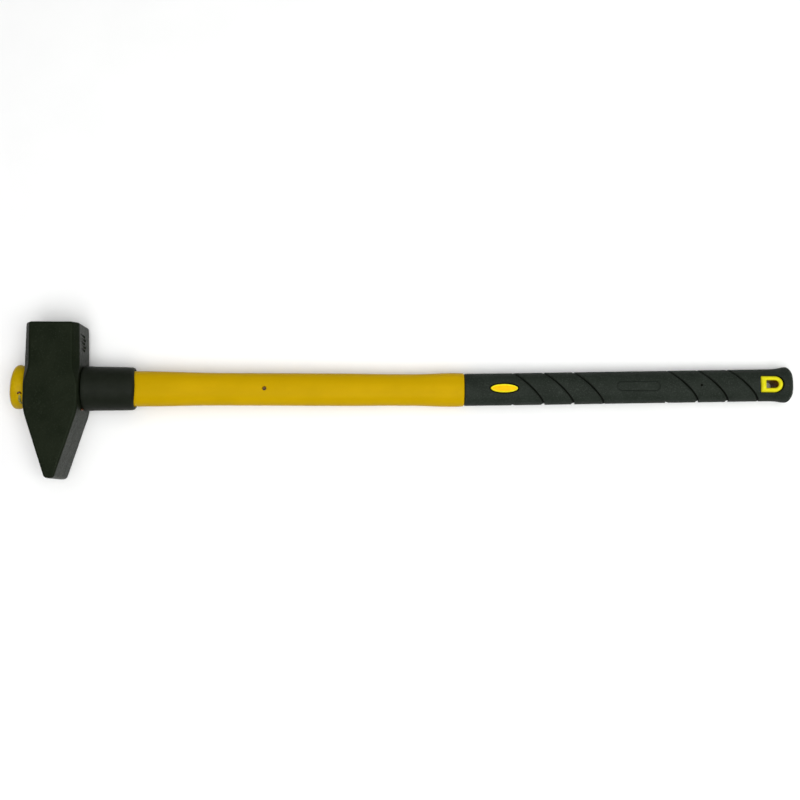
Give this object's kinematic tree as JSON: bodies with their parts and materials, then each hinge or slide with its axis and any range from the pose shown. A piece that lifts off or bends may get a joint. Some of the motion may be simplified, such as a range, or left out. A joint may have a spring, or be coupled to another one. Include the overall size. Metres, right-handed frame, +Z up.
{
  "type": "cross-peen sledge hammer",
  "caption": "Long-handled cross-peen sledge hammer: forged steel head, moulded fibre-cored handle with rubber over-strike sleeve, ribbed rubber grip and hanging hole.",
  "frame": {"origin": "on the floor under the middle of the tool's overall box, with the tool lying down on the edge of its lower cheek and the underside of its butt", "axes": "+X along the handle from the head to the butt, +Y along the head towards the flat striking face, +Z up, across the cheeks"},
  "size_m": [0.8972, 0.1788, 0.0651],
  "materials": {
    "forged_steel": "black lacquer over a forged surface, semi-matt",
    "glass_fibre": "pultruded glass-fibre rod, matt",
    "yellow_plastic": "moulded polypropylene, satin",
    "cast_resin": "cast epoxy, translucent amber",
    "sleeve_rubber": "smooth moulded rubber, satin",
    "grip_rubber": "moulded thermoplastic rubber, matt",
    "badge_plastic": "moulded plastic, glossy"
  },
  "bodies": {
    "root": {"hammer_head": "forged_steel", "core_rod": "glass_fibre", "handle_jacket": "yellow_plastic", "eye_resin": "cast_resin", "head_end_plug": "yellow_plastic", "overstrike_sleeve": "sleeve_rubber", "grip_sleeve": "grip_rubber", "badge_upper": "badge_plastic", "badge_lower": "badge_plastic", "hang_eyelet": "yellow_plastic"}
  },
  "joints": []
}
